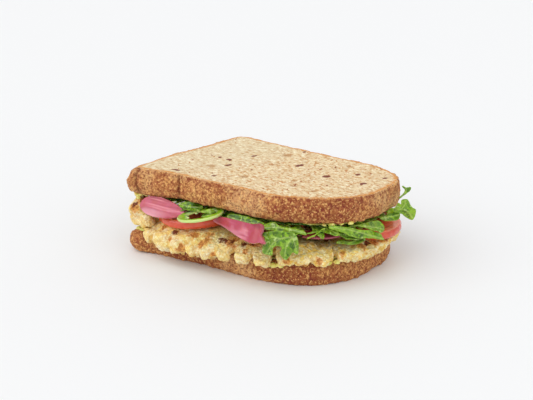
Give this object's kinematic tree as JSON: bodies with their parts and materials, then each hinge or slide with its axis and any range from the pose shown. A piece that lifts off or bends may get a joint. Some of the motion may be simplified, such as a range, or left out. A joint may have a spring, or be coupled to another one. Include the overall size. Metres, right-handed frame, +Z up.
{
  "type": "cauliflower and avocado sandwich",
  "caption": "Wholemeal bread sandwich filled with roast cauliflower, avocado, tomato, pickled onion, green chilli and rocket, lying flat.",
  "frame": {"origin": "middle of the flat underside of the lower slice, on the surface that the sandwich lies on", "axes": "+X along the slices towards the loaf's domed end, +Y away from the side where the filling shows most, +Z up"},
  "size_m": [0.1436, 0.1134, 0.0493],
  "materials": {
    "bread": "open brown crumb with bran flecks, baked brown crust",
    "avocado": "mashed, moist, yellow green",
    "cauliflower": "granular curds, roasted golden with browned patches",
    "tomato": "wet cut flesh with a smooth red skin",
    "pickled_onion": "wet, pink, with fine lengthwise lines",
    "green_chilli": "wet green flesh with a paler rim",
    "rocket": "fresh leaf with a pale midrib"
  },
  "bodies": {
    "root": {"bread_lower": "bread", "bread_upper": "bread", "avocado_lower": "avocado", "avocado_upper": "avocado", "cauliflower_front_left": "cauliflower", "cauliflower_front_right": "cauliflower", "cauliflower_right_end": "cauliflower", "cauliflower_back_left": "cauliflower", "cauliflower_back_right": "cauliflower", "cauliflower_floret_left": "cauliflower", "tomato_left": "tomato", "tomato_middle": "tomato", "tomato_right": "tomato", "tomato_back": "tomato", "pink_onion_left": "pickled_onion", "pink_onion_middle": "pickled_onion", "pink_onion_right": "pickled_onion", "pink_onion_back": "pickled_onion", "chilli_ring": "green_chilli", "rocket_bed": "rocket", "rocket_leaf_left": "rocket", "rocket_leaf_folded": "rocket", "rocket_leaf_middle": "rocket", "rocket_leaf_hanging": "rocket", "rocket_leaf_upper": "rocket", "rocket_stem": "rocket", "rocket_leaf_long": "rocket", "rocket_leaf_under": "rocket", "rocket_leaf_low": "rocket", "rocket_leaf_right": "rocket", "rocket_leaf_end": "rocket", "rocket_leaf_out": "rocket", "rocket_leaf_tip": "rocket", "rocket_leaf_back": "rocket", "rocket_leaf_back_left": "rocket", "rocket_leaf_flat_end": "rocket"}
  },
  "joints": []
}
